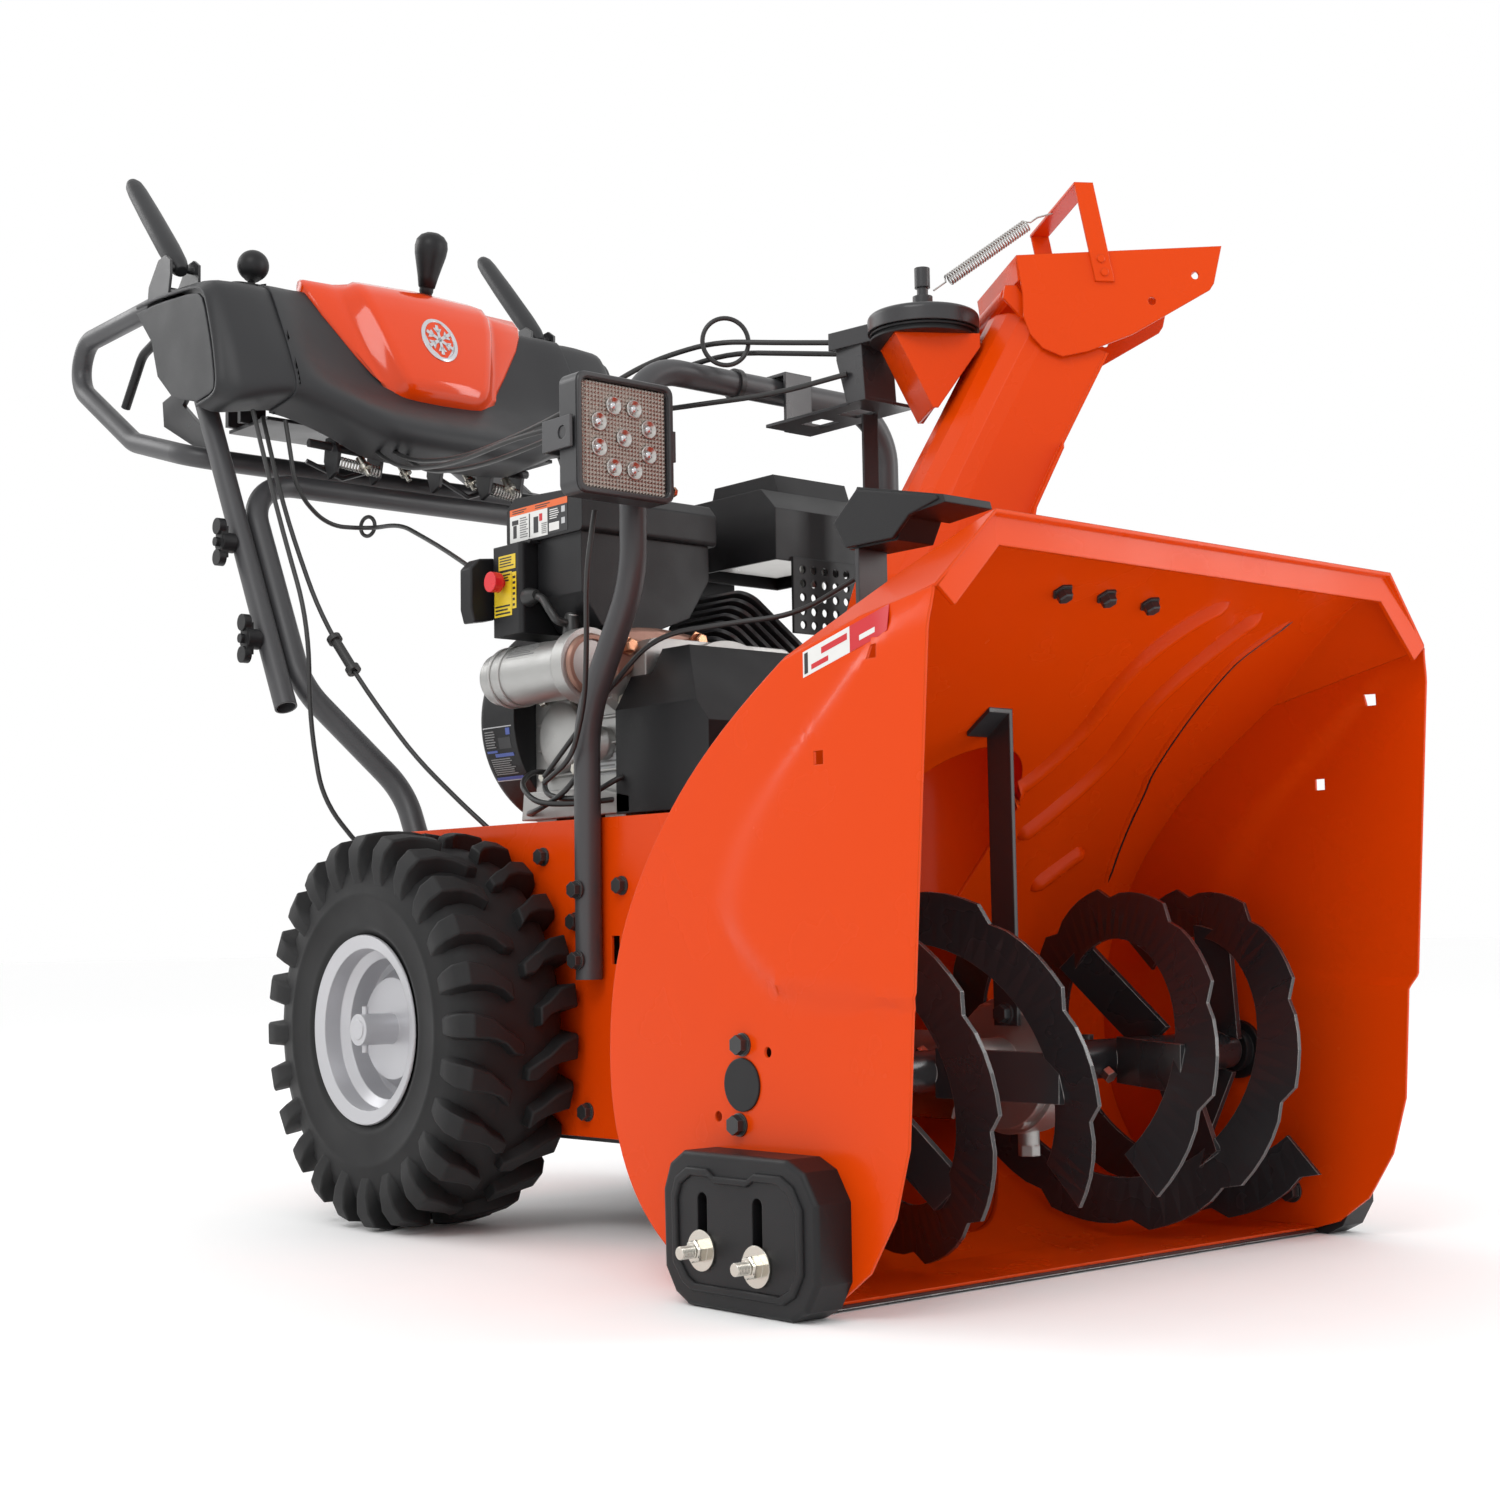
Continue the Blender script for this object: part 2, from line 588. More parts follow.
spring_low, spring_high = chute_at(24, 0, 858), chute_at(98, 0, 911)
along = (spring_high - spring_low).normalized()
wire = [spring_low - along * 0.017, spring_low - along * 0.009, spring_low - along * 0.003]
wire += coil(spring_low, spring_high, 5.2, 34)
wire += [spring_high + along * 0.004, spring_high + along * 0.012, chute_at(122, 0, 922.2)]
spring = piece("spring_coil", tube(wire, 0.85, 6), "chute", "steel", slot="zinc", sharp=80,
               stands_for=["lift_spring"])
spring.parent = None
del spring["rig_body"]
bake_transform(spring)
print("spring length", round((spring_high - spring_low).length, 4))

# %% [markdown]
# ## Side panels
# Each side of the housing is one flat sheet with a large pressed field in its front half. The press
# sets the field five millimetres outwards with a long slope at the back, which stops the sheet from
# drumming. The flat sheet is cut into a fine grid, and the grid follows the press.

# %% Pressed field of the side panels
PANEL_X = 305.0          # outer face of the side panels
FIELD_DEPTH = 5.0


def clamp(value):
    return max(0.0, min(1.0, value))


def press(y, z):
    """How far the press moved the sheet at a point, in millimetres."""
    rear = -596 - ((z - 290) ** 1.62 / 33.0 if z > 290 else (290 - z) ** 2 / 78.0)
    slope = 10 + 34 * clamp((z - 240) / 60) * clamp((440 - z) / 90)
    share = clamp((rear + slope - y) / slope) * clamp((z - 219 + (y + 771) * -0.06) / 9)
    roof = 514 + (y + 799) * -0.22
    share *= clamp((roof - z) / 30)
    return FIELD_DEPTH * share * share * (3 - 2 * share)


source = NODES["housing_sides"]
sheet = bmesh.new()
sheet.from_mesh(source.data)
bmesh.ops.transform(sheet, matrix=source.matrix_world, verts=sheet.verts)
for axis, start, end, step in (("y", -800, -540, 8), ("z", 205, 515, 8)):
    for value in range(start, end, step):
        place = at(0, value, 0) if axis == "y" else at(0, 0, value)
        normal = (0, 1, 0) if axis == "y" else (0, 0, 1)
        bmesh.ops.bisect_plane(sheet, geom=sheet.verts[:] + sheet.edges[:] + sheet.faces[:], plane_co=place,
                               plane_no=normal)
for vertex in sheet.verts:
    y, z = (vertex.co.y - AXLE) / MM, vertex.co.z / MM
    vertex.co.x += math.copysign(press(y, z) * MM, vertex.co.x)
sheet.verts.index_update()
shape = ([v.co.copy() for v in sheet.verts], [tuple(v.index for v in f.verts) for f in sheet.faces])
sheet.free()
piece("side_panels", shape, "chassis", "orange_paint", sharp=30, stands_for=["housing_sides"])
print("side panels with", len(shape[1]), "faces")

# %% [markdown]
# ## Ribs inside the housing
# Two long S-shaped beads and a short one stiffen the curved back sheet, a lap seam joins it to its
# left end, and three bolts hold the chute's throat. A bead is a half-round bump that follows the sheet.

# %% Beads and seam
def surface_of(name):
    """A node's faces, ready for nearest-point searches."""
    node = NODES[name]
    return BVHTree.FromPolygons([node.matrix_world @ v.co for v in node.data.vertices],
                                [tuple(p.vertices) for p in node.data.polygons])


def between(a, b, c, d, t):
    """The share t of the way from b to c, on a soft curve that also runs through a and d."""
    return 0.5 * (2 * b + (c - a) * t + (2 * a - 5 * b + 4 * c - d) * t ** 2
                  + (3 * b - a - 3 * c + d) * t ** 3)


def smooth_line(points, parts=6):
    """A soft curve through the points."""
    line = []
    for k in range(len(points) - 1):
        a, b, c, d = points[max(k - 1, 0)], points[k], points[k + 1], points[min(k + 2, len(points) - 1)]
        line += [between(a, b, c, d, i / parts) for i in range(parts)]
    return line + [points[-1]]


def bead(points, tree, half, rise, toward):
    """A rounded bump along a line on a sheet; toward is the side it stands out to."""
    line = smooth_line([at(*p) for p in points])
    rings = []
    for k, point in enumerate(line):
        spot, normal, _, _ = tree.find_nearest(point)
        if normal.dot(toward) < 0:
            normal = -normal
        ahead = (line[min(k + 1, len(line) - 1)] - line[max(k - 1, 0)]).normalized()
        across = ahead.cross(normal).normalized()
        fade = min(1.0, 0.15 + 0.5 * min(k, len(line) - 1 - k))
        rings.append([spot + across * (half * fade * s * MM) + normal * ((rise * fade * h - 0.6) * MM)
                      for s, h in ((-1.0, 0.0), (-0.72, 0.45), (-0.35, 0.9), (0.0, 1.0), (0.35, 0.9),
                                   (0.72, 0.45), (1.0, 0.0))])
    return loft(rings)


barrel = surface_of("housing_barrel")
mouth = Vector((0, -1, -0.3))
beads = [[(100, -748, 543), (81, -714, 525), (72, -676, 501), (76, -640, 477), (85, -602, 451),
          (80, -560, 420), (62, -530, 394), (40, -512, 378)],
         [(154, -740, 540), (146, -702, 517), (139, -661, 491), (139, -624, 466), (151, -576, 432),
          (146, -542, 405), (127, -512, 377), (108, -496, 358)],
         [(208, -489, 350), (187, -477, 334), (160, -463, 312)]]
piece("back_sheet_beads", joined([bead(line, barrel, 11.0, 7.5, mouth) for line in beads]), "chassis",
      "orange_paint", sharp=60)
seam = [(200, -736, 538), (188, -695, 513), (188, -671, 497), (198, -628, 469), (221, -562, 421),
        (236, -534, 398), (250, -498, 360),
        (262, -466, 318)]
piece("back_sheet_lap", bead(seam, barrel, 4.0, 3.0, mouth), "chassis", "orange_paint", sharp=30)
gap = [(x + 4.6, y, z) for x, y, z in seam]
piece("back_sheet_gap", bead(gap, barrel, 1.6, 2.2, mouth), "chassis", "ink_black", sharp=30)

bolts = []
for x, y, z in [(-96, -735, 537), (-45, -736, 538), (11, -734, 537)]:
    spot, normal, _, _ = barrel.find_nearest(at(x, y, z))
    normal = normal if normal.z < 0 else -normal
    bolts.append(lathe([(0, 0.1), (0, 9.0), (2, 9.0), (2, 7.0), (8, 6.6), (9, 5.5), (9, 0.1)], spot, normal,
                       6))
piece("throat_bolts", joined(bolts), "chassis", "bolt_black", sharp=25)
print("beads", len(beads))

# %% [markdown]
# ## Skid shoes
# The shoe is moulded with a raised band round its face, and two plated nuts clamp it in its slots.

# %% Band and nuts
SHOE_FACE = 339.0
SHOE_STUDS = [(-579, 42), (-641, 36)]
band = [(-545, 30), (-556, 16), (-566, 11), (-670, 11), (-682, 18), (-691, 34), (-691, 80), (-681, 96),
        (-668, 103), (-640, 103),
        (-632, 98), (-594, 98), (-586, 103), (-562, 103), (-549, 95), (-544, 82), (-545, 30)]
for side in (-1, 1):
    face = side * SHOE_FACE
    inner = [(y * 0.90 - 61.8, z * 0.84 + 9) for y, z in band]
    rings = [[at(face - side * 0.5, *a), at(face + side * 2.6, a[0] * 0.985 - 9.3, a[1] * 0.97 + 1.7),
              at(face + side * 2.6, b[0] * 1.015 + 9.3, b[1] * 1.03 - 1.7), at(face - side * 0.5, *b)]
              for a, b in zip(band[:-1], inner[:-1])]
    piece(f"shoe_band_{'left' if side > 0 else 'right'}", loft(rings, close_loop=True), "chassis",
          "black_plastic", sharp=30, bevel=0.8)
    nuts = []
    for y, z in SHOE_STUDS:
        base = at(face, y, z)
        nuts.append(lathe([(0.2, 0.1), (0.2, 15.2), (2.4, 15.2), (2.4, 0.1)], base, (side, 0, 0), 40))
        nuts.append(lathe([(2.4, 0.1), (2.4, 9.0), (9.4, 9.0), (10.6, 7.6), (10.6, 0.1)], base,
                          (side, 0, 0), 6))
        for k in range(9):
            nuts.append(lathe([(10 + 1.4 * k, 0.1), (10 + 1.4 * k, 4.5), (10.8 + 1.4 * k, 5.0),
                               (11.3 + 1.4 * k, 4.5), (11.3 + 1.4 * k, 0.1)],
                              base, (side, 0, 0), 16))
    piece(f"shoe_nuts_{'left' if side > 0 else 'right'}", joined(nuts), "chassis", "zinc", sharp=25)

# %% [markdown]
# ## Console
# The console is one soft moulding with two end caps. Its front section is known at six stations
# from the middle to the end; the stations are joined with soft curves, and the corners are rounded
# by cutting them twice. Two slots let the speed lever and the chute lever through.

# %% Console sections
STATIONS = [
    (0, [(300, 822), (232, 828), (230, 850), (298, 900), (346, 1016), (356, 1026), (450, 1034),
         (500, 1034)]),
    (95, [(300, 826), (236, 832), (234, 854), (296, 902), (344, 1012), (354, 1023), (450, 1032),
          (500, 1032)]),
    (150, [(310, 850), (256, 858), (254, 874), (292, 912), (338, 1004), (350, 1016), (450, 1026),
           (500, 1026)]),
    (200, [(330, 868), (272, 876), (270, 890), (288, 930), (326, 1000), (340, 1012), (450, 1022),
           (500, 1022)]),
    (262, [(340, 862), (290, 866), (288, 884), (300, 930), (326, 994), (342, 1008), (450, 1018),
           (500, 1018)]),
    (278, [(352, 872), (312, 876), (310, 890), (318, 930), (336, 984), (352, 996), (448, 1004),
           (500, 1004)])]


def station(x):
    """The console's section at x, by soft interpolation between the stations."""
    table = [(-s[0], s[1]) for s in reversed(STATIONS[1:])] + STATIONS
    k = max(i for i in range(len(table)) if table[i][0] <= x) if x < 278 else len(table) - 2
    (xa, _), (xb, _) = table[k], table[k + 1]
    t = (x - xa) / (xb - xa)
    row = []
    for i in range(8):
        a, b, c, d = [table[max(0, min(len(table) - 1, j))][1][i] for j in (k - 1, k, k + 1, k + 2)]
        row.append(tuple(between(p, q, r, w, t) for p, q, r, w in zip(a, b, c, d)))
    return row


def cut_corners(line):
    """Each corner cut off at a fifth of its two sides."""
    out = [line[0]]
    for a, b in zip(line, line[1:]):
        out += [(a[0] * 0.8 + b[0] * 0.2, a[1] * 0.8 + b[1] * 0.2),
                (a[0] * 0.2 + b[0] * 0.8, a[1] * 0.2 + b[1] * 0.8)]
    return out + [line[-1]]


def wall_ring(x, grow, thick=3.2):
    """A thin wall's closed section at x, grown outwards."""
    line = cut_corners(cut_corners(station(x)))
    outer, inner = [], []
    for k, (y, z) in enumerate(line):
        ya, za = line[max(k - 1, 0)]
        yb, zb = line[min(k + 1, len(line) - 1)]
        length = math.hypot(yb - ya, zb - za)
        oy, oz = -((za - zb) / length), (ya - yb) / length
        outer.append(at(x, y + oy * grow, z + oz * grow))
        inner.append(at(x, y - oy * (thick - grow), z - oz * (thick - grow)))
    return outer + inner[::-1]


def carved(shape, boxes):
    """A shape with boxes (x0, x1, y0, y1, z0, z1) cut out of it."""
    def solid(points, faces):
        mesh = bpy.data.meshes.new("raw")
        mesh.from_pydata(points, [], faces)
        work = bmesh.new()
        work.from_mesh(mesh)
        bmesh.ops.recalc_face_normals(work, faces=work.faces)
        work.to_mesh(mesh)
        work.free()
        thing = bpy.data.objects.new("raw", mesh)
        bpy.context.scene.collection.objects.link(thing)
        return thing
    target = solid(*shape)
    cutters = []
    for x0, x1, y0, y1, z0, z1 in boxes:
        cutters.append(solid(*slab([(y0, z0), (y1, z0), (y1, z1), (y0, z1)], x0, x1)))
        cut = target.modifiers.new("cut", "BOOLEAN")
        cut.object, cut.operation, cut.solver = cutters[-1], "DIFFERENCE", "EXACT"
    view_layer = bpy.context.evaluated_depsgraph_get()
    result = target.evaluated_get(view_layer).to_mesh()
    shape = ([v.co.copy() for v in result.vertices], [tuple(p.vertices) for p in result.polygons])
    for thing in [target] + cutters:
        bpy.data.objects.remove(thing)
    return shape


# %% Console body and caps
LEVER_SLOTS = [(22, 58, 372, 432, 990, 1060), (-214, -166, 376, 426, 980, 1060)]
body_rings = [wall_ring(x, 0.0) for x in range(-200, 201, 8)]
piece("console_body", carved(loft(body_rings), LEVER_SLOTS), "chassis", "dark_plastic", sharp=40,
      stands_for=["console"])
for side in (-1, 1):
    cap_rings = [wall_ring(side * x, grow) for x, grow in
                 ((197, -2.0), (197, 1.2), (198.5, 2.6), (204, 2.6), (216, 1.5), (230, 1), (244, 1),
                  (256, 0.5), (264, 0), (270, -1), (275, -2), (278, -4))]
    outline = cut_corners(station(side * 277.9))
    wall = [at(side * 277.2, y + 1, z - 1) for y, z in outline] + [at(side * 277.2, 462, 962),
            at(side * 277.2, 446, 918), at(side * 277.2, 408, 886)]
    plate = loft([wall, [p - Vector((side * 0.003, 0, 0)) for p in wall]])
    piece(f"console_cap_{'left' if side > 0 else 'right'}",
          joined([carved(loft(cap_rings), LEVER_SLOTS), plate]), "chassis", "dark_plastic", sharp=42)

# %% Boots round the two levers
for x, y, z, wide, long in ((40, 402, 1031.5, 21, 34), (-190, 401, 1023.6, 29, 29)):
    rim = [(wide * math.copysign(abs(math.cos(a)) ** 0.5, math.cos(a)),
            long * math.copysign(abs(math.sin(a)) ** 0.5, math.sin(a)))
           for a in [math.radians(10 * k) for k in range(36)]]
    rings = [[at(x + u * s, y + v * s, z + h + v * s * 0.08) for u, v in rim]
             for s, h in ((1.05, -2), (1.05, 1.2), (1.0, 2.2), (0.88, 2.2), (0.84, -2))]
    piece(f"lever_surround_{abs(x)}", loft(rings, close_loop=True), "chassis", "black_plastic", sharp=50)

# %% [markdown]
# ## Hood
# A glossy orange shield clips over the console's middle. It has a raised centre block with soft
# slanted flanks and a thin lip. A plain oval badge with a snow star takes the place of a maker's sign.

# %% Hood
OUT_Y, OUT_Z = -0.924, 0.382
rows = [(291, 884, OUT_Y, OUT_Z, 44, 36, 2, 6), (293, 889, OUT_Y, OUT_Z, 54, 46, 6, 20),
        (297, 898, OUT_Y, OUT_Z, 66, 54, 8, 29), (301, 908, OUT_Y, OUT_Z, 78, 60, 9, 31),
        (317, 945, OUT_Y, OUT_Z, 106, 72, 9, 33), (333, 985, OUT_Y, OUT_Z, 134, 83, 9, 33),
        (342, 1006, OUT_Y, OUT_Z, 145, 87, 9, 31),
        (347, 1016, -0.8, 0.6, 148, 88, 9, 26), (354, 1025, -0.5, 0.85, 148, 87, 8, 18),
        (362, 1029, -0.1, 1.0, 146, 85, 6, 12),
        (368, 1030, 0.0, 1.0, 144, 84, 2, 4)]
rings = []
for y, z, oy, oz, half, block, low_lift, high_lift in rows:
    sink = 14 * min(1.0, half / 140)
    flank = [(-half, -sink), (-half, low_lift - 2.5), (-half + 3, low_lift), (-block - 20, low_lift + 1),
             (-block - 12, low_lift + 2.5), (-block - 2, high_lift - 5), (-block + 4, high_lift - 1),
             (-block + 12, high_lift)]
    section = flank + [(0, high_lift + 2.5)] + [(-x, lift) for x, lift in reversed(flank)]
    rings.append([at(x, y + oy * lift, z + oz * lift) for x, lift in section])
piece("console_shield", loft(rings), "chassis", "orange_plastic", sharp=50, stands_for=["console_hood"])


def on_block(u, v, lift):
    """A point on the block's face: u across, v up, both from the badge's middle."""
    reach = 34.6 + lift
    return at(u, 323.7 + OUT_Y * reach + 0.382 * v, 958 + OUT_Z * reach + 0.924 * v)


def oval(width, height, lift):
    return [on_block(width * math.cos(a), height * math.sin(a), lift)
            for a in [math.radians(7.5 * k) for k in range(48)]]


badge = [loft([oval(24, 30, -2), oval(24, 30, 2.2), oval(22.6, 28.6, 3.0), oval(19.4, 25.4, 3.0),
               oval(18.6, 24.6, 1.6)])]
for k in range(6):
    a = math.radians(60 * k + 30)
    ca, sa = math.cos(a), math.sin(a)
    for near, far, half, shift in ((0, 16, 1.9, 0), (9, 14, 1.5, 4.2), (9, 14, 1.5, -4.2)):
        tip = far + (2 if shift == 0 else 0)
        corners = [(near, -half + shift * 0.2), (tip, -half + shift), (tip, half + shift),
                   (near, half + shift * 0.2)]
        badge.append(loft([[on_block(c * ca - d * sa, (c * sa + d * ca) * 1.15, lift) for c, d in corners]
                           for lift in (1.0, 3.0)]))
piece("shield_badge", joined(badge), "chassis", "badge", sharp=30, stands_for=["hood_badge"])
print("console, hood and badge done")

# %% [markdown]
# ## Work lamp
# The lamp's face is a metallised reflector pressed with fine pyramids, with nine small round lights:
# eight in a ring and one in the middle. Each light is a bowl with a domed lens.

# %% Reflector and lights
LAMP_X, LAMP_Z, LAMP_Y = -214.0, 714.0, -336.0
GRID, HALF_FACE = 26, 47.5
pitch = 2 * HALF_FACE / GRID
points, faces = [], []
for row in range(GRID):
    for column in range(GRID):
        x, z = LAMP_X - HALF_FACE + column * pitch, LAMP_Z - HALF_FACE + row * pitch
        start = len(points)
        points += [at(x, LAMP_Y + 3.2, z), at(x + pitch, LAMP_Y + 3.2, z),
                   at(x + pitch, LAMP_Y + 3.2, z + pitch), at(x, LAMP_Y + 3.2, z + pitch)]
        points.append(at(x + pitch / 2, LAMP_Y + 1.4, z + pitch / 2))
        faces += [(start, start + 1, start + 4), (start + 1, start + 2, start + 4),
                  (start + 2, start + 3, start + 4), (start + 3, start, start + 4)]
piece("reflector", (points, faces), "work_light", "lens", sharp=10, stands_for=["light_lens"])
bowls, domes = [], []
for k in range(9):
    reach, a = (0.0, 0.0) if k == 8 else (30.0, math.radians(45 * k + 22.5))
    spot = at(LAMP_X + reach * math.cos(a), LAMP_Y + 3.4, LAMP_Z + reach * math.sin(a))
    bowls.append(lathe([(0, 8.4), (2.6, 8.4), (3.2, 7.6), (2.4, 6.6), (0.6, 3.4), (0, 3.4)], spot,
                       (0, -1, 0), 24))
    domes.append(lathe([(0.2, 3.6), (1.8, 3.3), (2.9, 2.2), (3.3, 0.1), (0.2, 0.1)], spot, (0, -1, 0), 20))
piece("light_bowls", joined(bowls), "work_light", "steel", sharp=40)
piece("light_domes", joined(domes), "work_light", "badge", sharp=60)
frame_rings = []
for half, y in ((53.0, 1.0), (53.6, -1.2), (52.6, -2.4), (49.4, -2.4), (48.4, -1.2), (48.4, 1.0)):
    corner = 9.0 - (53.6 - half) * 0.5
    ring = []
    for cx, cz, turn in ((1, 1, 0), (-1, 1, 90), (-1, -1, 180), (1, -1, 270)):
        for k in range(5):
            a = math.radians(turn + 22.5 * k)
            ring.append(at(LAMP_X + cx * (half - corner) + corner * math.cos(a), LAMP_Y + y,
                           LAMP_Z + cz * (half - corner) + corner * math.sin(a)))
    frame_rings.append(ring)
piece("lamp_frame", loft(frame_rings, close_loop=True), "work_light", "black_paint", sharp=40)
screws = [lathe([(0, 0.1), (0, 4.6), (3, 4.6), (3.6, 3.8), (3.6, 0.1)],
                at(LAMP_X + 59.2, LAMP_Y + 8 + 14 * (k % 2), LAMP_Z - 40 + 9 * k), (1, 0, 0), 6)
          for k in range(2)]
piece("lamp_screws", joined(screws), "chassis", "bronze", sharp=25)
print("lamp with", len(domes), "lights")

# %% [markdown]
# ## Labels
# Warning and rating labels are thin printed film. Each is a set of printed areas laid on the face
# with rows of fine bars where a real label has its text; the wording itself is left out.

# %% Label helper
def label(name, place, marks, body="chassis", steps=1):
    """marks are (ink, left, bottom, right, top) shares; place(u, v, lift) finds a point on the label."""
    for ink in sorted({mark[0] for mark in marks}):
        shapes = []
        for k, (colour, u0, v0, u1, v1) in enumerate(marks):
            if colour != ink:
                continue
            lift = 0.25 + 0.05 * min(k, 6)
            rings = []
            for i in range(steps + 1):
                u = u0 + (u1 - u0) * i / steps
                rings.append([place(u, v0, -0.4), place(u, v1, -0.4), place(u, v1, lift),
                              place(u, v0, lift)])
            shapes.append(loft(rings))
        piece(f"{name}_{ink}", joined(shapes), body, "ink_" + ink, sharp=30)


def rows_of_print(ink, u0, v0, u1, v1, count, fill=0.45):
    """Fine bars of random length in place of lines of text."""
    pitch = (v1 - v0) / count
    return [(ink, u0, v0 + pitch * (k + 0.25), u0 + (u1 - u0) * random.uniform(0.72, 1.0),
             v0 + pitch * (k + 0.25 + fill)) for k in range(count)]


# %% Engine labels
def on_airbox(u, v, lift):
    return at(-150.0 - lift, -66 - 96 * u, 665 + 33 * v)


label("airbox_label", on_airbox,
      [("white", 0, 0, 0.66, 1), ("black", 0.66, 0, 1, 1), ("orange", 0, 0.80, 1, 1),
       ("black", 0.06, 0.12, 0.12, 0.5), ("black", 0.04, 0.52, 0.15, 0.66),
       ("black", 0.42, 0.14, 0.50, 0.62), ("red", 0.52, 0.46, 0.57, 0.68),
       ("black", 0.34, 0.05, 0.355, 0.76), ("white", 0.69, 0.08, 0.86, 0.32),
       ("silver", 0.90, 0.56, 0.96, 0.74), ("silver", 0.90, 0.22, 0.96, 0.40)]
      + rows_of_print("grey", 0.18, 0.08, 0.32, 0.72, 9) + rows_of_print("grey", 0.56, 0.06, 0.65, 0.40, 6)
      + rows_of_print("white", 0.70, 0.42, 0.86, 0.74, 5)
      + rows_of_print("black", 0.05, 0.84, 0.30, 0.97, 2)
      + rows_of_print("black", 0.45, 0.84, 0.72, 0.97, 2))


def on_switchbox(u, v, lift):
    return at(-165.0 - lift, -60 - 38 * u, 590 + 60 * v)


label("switch_label", on_switchbox,
      [("yellow", 0.0, 0.0, 0.78, 0.72), ("yellow", 0.2, 0.76, 0.95, 1.0),
       ("yellow", 0.80, 0.10, 0.98, 0.70)]
      + rows_of_print("black", 0.25, 0.80, 0.90, 0.98, 4) + rows_of_print("black", 0.06, 0.56, 0.74, 0.70, 3)
      + rows_of_print("black", 0.05, 0.02, 0.72, 0.20, 3) + rows_of_print("black", 0.83, 0.12, 0.95, 0.66, 6))


STARTER_X, STARTER_Z, STARTER_R = -140, 533, 29.0


def on_starter(u, v, lift):
    a = math.radians(62 + 92 * (1 - v))
    return at(STARTER_X + (STARTER_R + lift) * math.cos(a), -74 - 56 * u,
              STARTER_Z + (STARTER_R + lift) * math.sin(a))


label("starter_label", on_starter,
      [("white", 0, 0, 1, 1)] + rows_of_print("grey", 0.08, 0.05, 0.92, 0.95, 15, 0.4))


RECOIL_X, RECOIL_Z, RECOIL_R = -15, 497, 110.0


def on_recoil(u, v, lift):
    a = math.radians(184 + 30 * (1 - v))
    return at(RECOIL_X + (RECOIL_R + lift) * math.cos(a), 22 - 50 * u,
              RECOIL_Z + (RECOIL_R + lift) * math.sin(a))


label("recoil_label", on_recoil,
      [("silver", 0, 0, 1, 1), ("black", 0.50, 0.60, 0.92, 0.80), ("blue", 0.04, 0.54, 0.40, 0.58),
       ("blue", 0.04, 0.02, 0.96, 0.08), ("blue", 0.80, 0.84, 0.94, 0.96), ("blue", 0.30, 0.46, 0.94, 0.52)]
      + rows_of_print("grey", 0.06, 0.62, 0.44, 0.94, 7) + rows_of_print("grey", 0.10, 0.12, 0.90, 0.44, 8))


CASE_X = -98.0           # right face of the crankcase


def on_crankcase(u, v, lift):
    return at(CASE_X - lift, -120 - 60 * u, 432 + 26 * v)


label("case_label", on_crankcase,
      [("silver", 0, 0, 1, 1)] + rows_of_print("grey", 0.08, 0.10, 0.92, 0.90, 5))
print("labels done")

# %% [markdown]
# ## Engine castings
# The starter hangs in a brown cast arm. The crankcase carries ribs, a domed side cover and hex
# bolts, and a dark bracket holds the switch box. These are turned or lofted over the plain case.

# %% Starter and case details
piece("starter_nose", lathe([(-1, 24), (-1, 28.0), (2, 30.4), (22, 30.4), (24, 29.6), (24, 27), (20, 27),
                             (20, 24)], at(STARTER_X, -187, STARTER_Z), (0, 1, 0), 48),
      "chassis", "cast_brown", sharp=35)
bands = [lathe([(a, 28.6), (a, 30.0), (a + 0.8, 30.6), (a + 4.2, 30.6), (a + 5, 30.0), (a + 5, 28.6)],
               at(STARTER_X, 0, STARTER_Z), (0, 1, 0), 48) for a in (-163, -72, -56)]
piece("starter_bands", joined(bands), "chassis", "cast_aluminium", sharp=35)
sections = [(-118, 512, 566), (-104, 524, 570), (-88, 538, 572), (-66, 548, 573), (-40, 554, 571),
            (-14, 558, 568)]
arm = [[at(x, y, z) for y, z in ((-196, low_z + 3), (-192, low_z), (-178, low_z), (-174, low_z + 3),
                                 (-174, top - 4), (-178, top), (-192, top), (-196, top - 4))]
       for x, low_z, top in sections]
piece("starter_arm", loft(arm), "chassis", "cast_brown", sharp=35, bevel=1.2)
heads = [lathe([(0, 0.1), (0, 9.5), (2, 9.5), (2, 7.2), (9, 7.0), (10, 5.8), (10, 0.1)], at(x, -196, z),
               (0, -1, 0), 6) for x, z in ((-106, 552), (-20, 563))]
piece("arm_bolts", joined(heads), "chassis", "bronze", sharp=25)
ribs = []
for z in (412, 436, 462, 488):
    ribs.append(loft([[at(CASE_X + a, y, z - 2.2), at(-103.5, y, z - 1.4), at(-103.5, y, z + 1.4),
                       at(CASE_X + a, y, z + 2.2)] for y, a in ((-204, 1), (-44, 1))]))
ribs.append(lathe([(-1, 22), (0, 34), (6, 36), (10, 34), (14, 26), (16, 0.1), (-1, 0.1)],
                  at(CASE_X, -88, 474), (-1, 0, 0), 40))
ribs.append(lathe([(-1, 16), (8, 17), (11, 15), (18, 9), (18, 0.1), (-1, 0.1)], at(CASE_X, -150, 462),
                  (-1, 0, 0), 32))
ribs.append(slab([(-212, 392), (-212, 408), (-150, 420), (-40, 420), (-36, 392)], -96, -118))
piece("case_ribs", joined(ribs), "chassis", "cast_aluminium", sharp=35, bevel=0.9)
heads = [lathe([(0, 0.1), (0, 7.0), (5, 6.8), (6, 5.6), (6, 0.1)], at(-103, y, z), (-1, 0, 0), 6)
         for y, z in ((-58, 512), (-108, 512), (-58, 436), (-112, 440), (-190, 500), (-190, 436),
                      (-190, 405), (-60, 405))]
piece("case_bolts", joined(heads), "chassis", "zinc", sharp=25)

